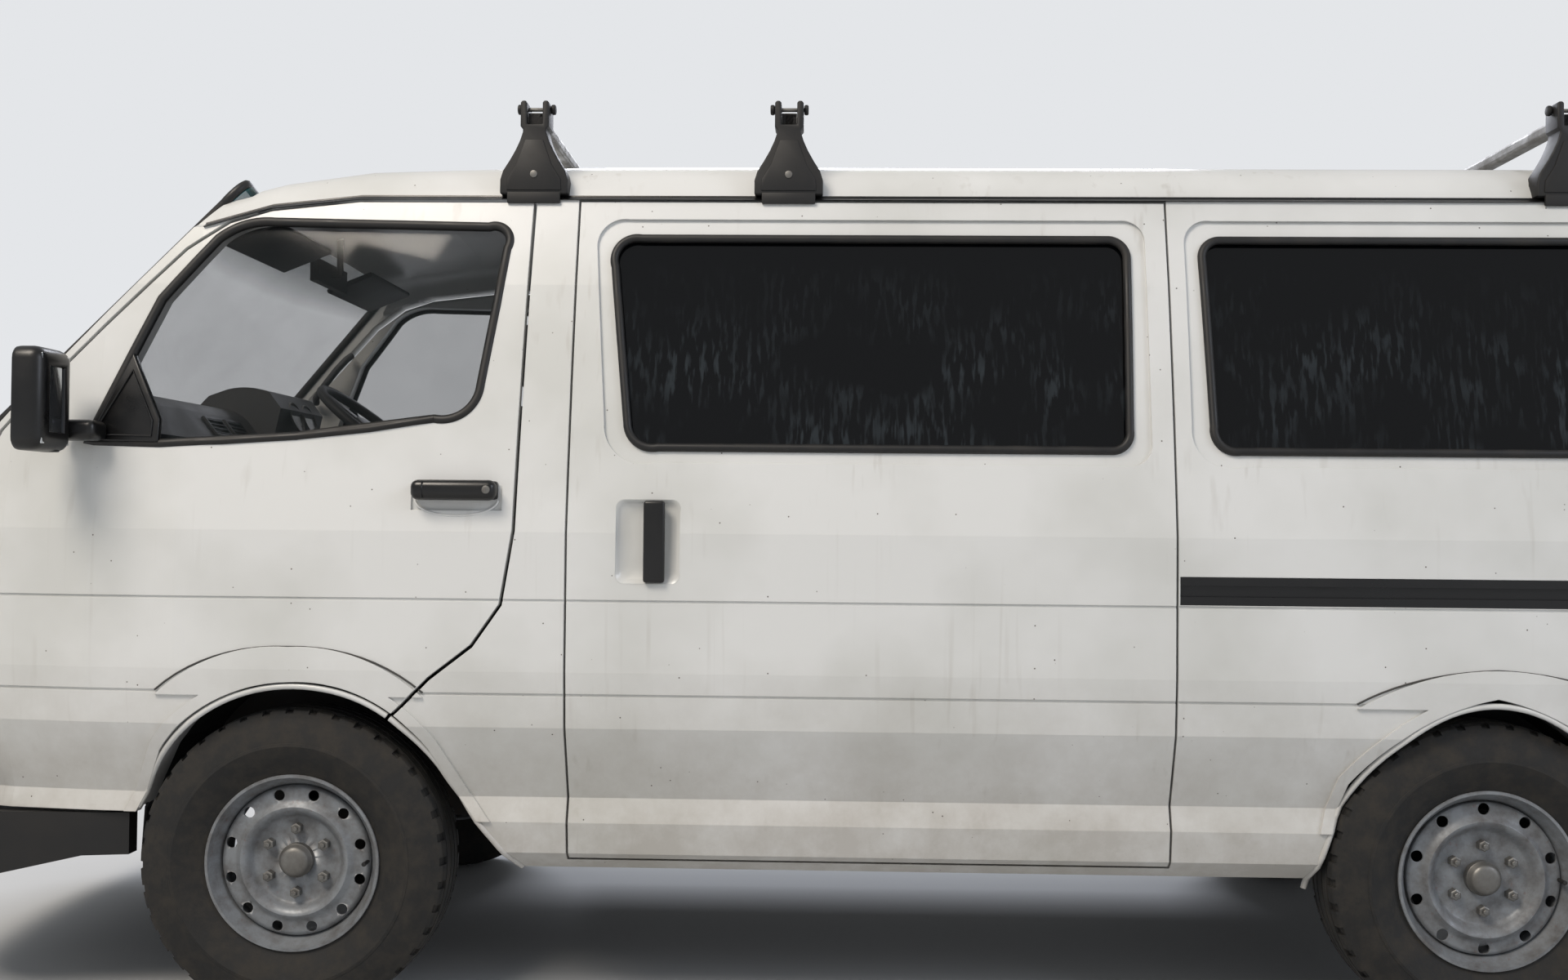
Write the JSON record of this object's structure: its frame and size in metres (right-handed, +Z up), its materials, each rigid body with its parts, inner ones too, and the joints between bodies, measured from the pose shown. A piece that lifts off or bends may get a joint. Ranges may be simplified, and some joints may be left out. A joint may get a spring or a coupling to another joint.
{
  "type": "panel van",
  "caption": "Short-nosed panel van with the cab over the front axle, sliding side doors, a top-hung tail door and a roof rack.",
  "frame": {"origin": "on the ground, under the middle of the van's length and width", "axes": "+X runs back along the van, -Y is its left side, +Z is up"},
  "size_m": [4.695, 2.02, 2.03],
  "materials": {
    "white_paint": "gloss",
    "black_plastic": "satin",
    "grey_plastic": "satin",
    "dark_glass": "gloss",
    "clear_lamp": "gloss",
    "red_lamp": "gloss",
    "underbody_paint": "satin",
    "bare_steel": "satin",
    "cast_iron": "matte",
    "wheel_steel": "satin",
    "tyre_rubber": "matte",
    "seat_cloth": "matte",
    "rack_aluminium": "satin"
  },
  "bodies": {
    "body": {"roof": "white_paint", "screen_frame": "white_paint", "nose_panel": "white_paint", "grille": "black_plastic", "head_lamps": "clear_lamp", "front_bumper": "black_plastic", "side_left": "white_paint", "side_right": "white_paint", "sliding_doors": "white_paint", "body_glass": "dark_glass", "slide_fittings": "black_plastic", "gutter_mouldings": "black_plastic", "tail_lamps": "red_lamp", "rear_bumper": "black_plastic", "hinges": "bare_steel", "floor_pan": "underbody_paint", "arch_liners": "underbody_paint", "frame_rails": "underbody_paint", "engine_block": "cast_iron", "driveline": "cast_iron", "fuel_tank": "underbody_paint", "exhaust": "bare_steel", "rear_axle": "cast_iron", "leaf_springs": "bare_steel", "front_suspension": "underbody_paint", "spare_wheel": "tyre_rubber", "dashboard": "grey_plastic", "steering_wheel": "grey_plastic", "seat_bases": "underbody_paint", "seat_cushions": "seat_cloth", "seat_backs": "seat_cloth", "cab_fittings": "black_plastic", "wipers": "black_plastic", "rack_feet": "black_plastic", "rack_bars": "rack_aluminium"},
    "front_door_left": {"door_left": "white_paint", "door_glass_left": "dark_glass", "door_trim_left": "black_plastic"},
    "front_door_right": {"door_right": "white_paint", "door_glass_right": "dark_glass", "door_trim_right": "black_plastic"},
    "tail_door": {"tailgate": "white_paint", "tailgate_glass": "dark_glass"},
    "nose_lid": {"front_lid": "white_paint"},
    "steer_left": {"knuckle_left": "cast_iron"},
    "steer_right": {"knuckle_right": "cast_iron"},
    "wheel_front_left": {"tyre_front_left": "tyre_rubber", "rim_front_left": "wheel_steel"},
    "wheel_front_right": {"tyre_front_right": "tyre_rubber", "rim_front_right": "wheel_steel"},
    "wheel_rear_left": {"tyre_rear_left": "tyre_rubber", "rim_rear_left": "wheel_steel"},
    "wheel_rear_right": {"tyre_rear_right": "tyre_rubber", "rim_rear_right": "wheel_steel"}
  },
  "joints": [
    {"name": "front_door_left_hinge", "type": "hinge", "parent": "body", "child": "front_door_left", "pos_m": [-2.0285, -0.776, 1], "axis": [0, 0, -1], "range_deg": [0, 70]},
    {"name": "front_door_right_hinge", "type": "hinge", "parent": "body", "child": "front_door_right", "pos_m": [-2.0285, 0.776, 1], "axis": [0, 0, 1], "range_deg": [0, 70]},
    {"name": "tail_door_hinge", "type": "hinge", "parent": "body", "child": "tail_door", "pos_m": [2.2135, 0, 1.866], "axis": [0, -1, 0], "range_deg": [0, 88]},
    {"name": "nose_lid_hinge", "type": "hinge", "parent": "body", "child": "nose_lid", "pos_m": [-2.221, 0, 1.118], "axis": [0, 1, 0], "range_deg": [0, 50]},
    {"name": "steer_left_pivot", "type": "hinge", "parent": "body", "child": "steer_left", "pos_m": [-1.3075, -0.665, 0.336], "axis": [0, 0, 1], "range_deg": [-33, 33]},
    {"name": "steer_right_pivot", "type": "hinge", "parent": "body", "child": "steer_right", "pos_m": [-1.3075, 0.665, 0.336], "axis": [0, 0, 1], "range_deg": [-33, 33]},
    {"name": "wheel_front_left_spin", "type": "hinge", "parent": "steer_left", "child": "wheel_front_left", "pos_m": [-1.3075, -0.735, 0.336], "axis": [0, 1, 0], "continuous": true},
    {"name": "wheel_front_right_spin", "type": "hinge", "parent": "steer_right", "child": "wheel_front_right", "pos_m": [-1.3075, 0.735, 0.336], "axis": [0, 1, 0], "continuous": true},
    {"name": "wheel_rear_left_spin", "type": "hinge", "parent": "body", "child": "wheel_rear_left", "pos_m": [1.2625, -0.732, 0.336], "axis": [0, 1, 0], "continuous": true},
    {"name": "wheel_rear_right_spin", "type": "hinge", "parent": "body", "child": "wheel_rear_right", "pos_m": [1.2625, 0.732, 0.336], "axis": [0, 1, 0], "continuous": true}
  ],
  "couplings": [
    {"joint": "steer_right_pivot", "follows": "steer_left_pivot", "ratio": 1}
  ]
}
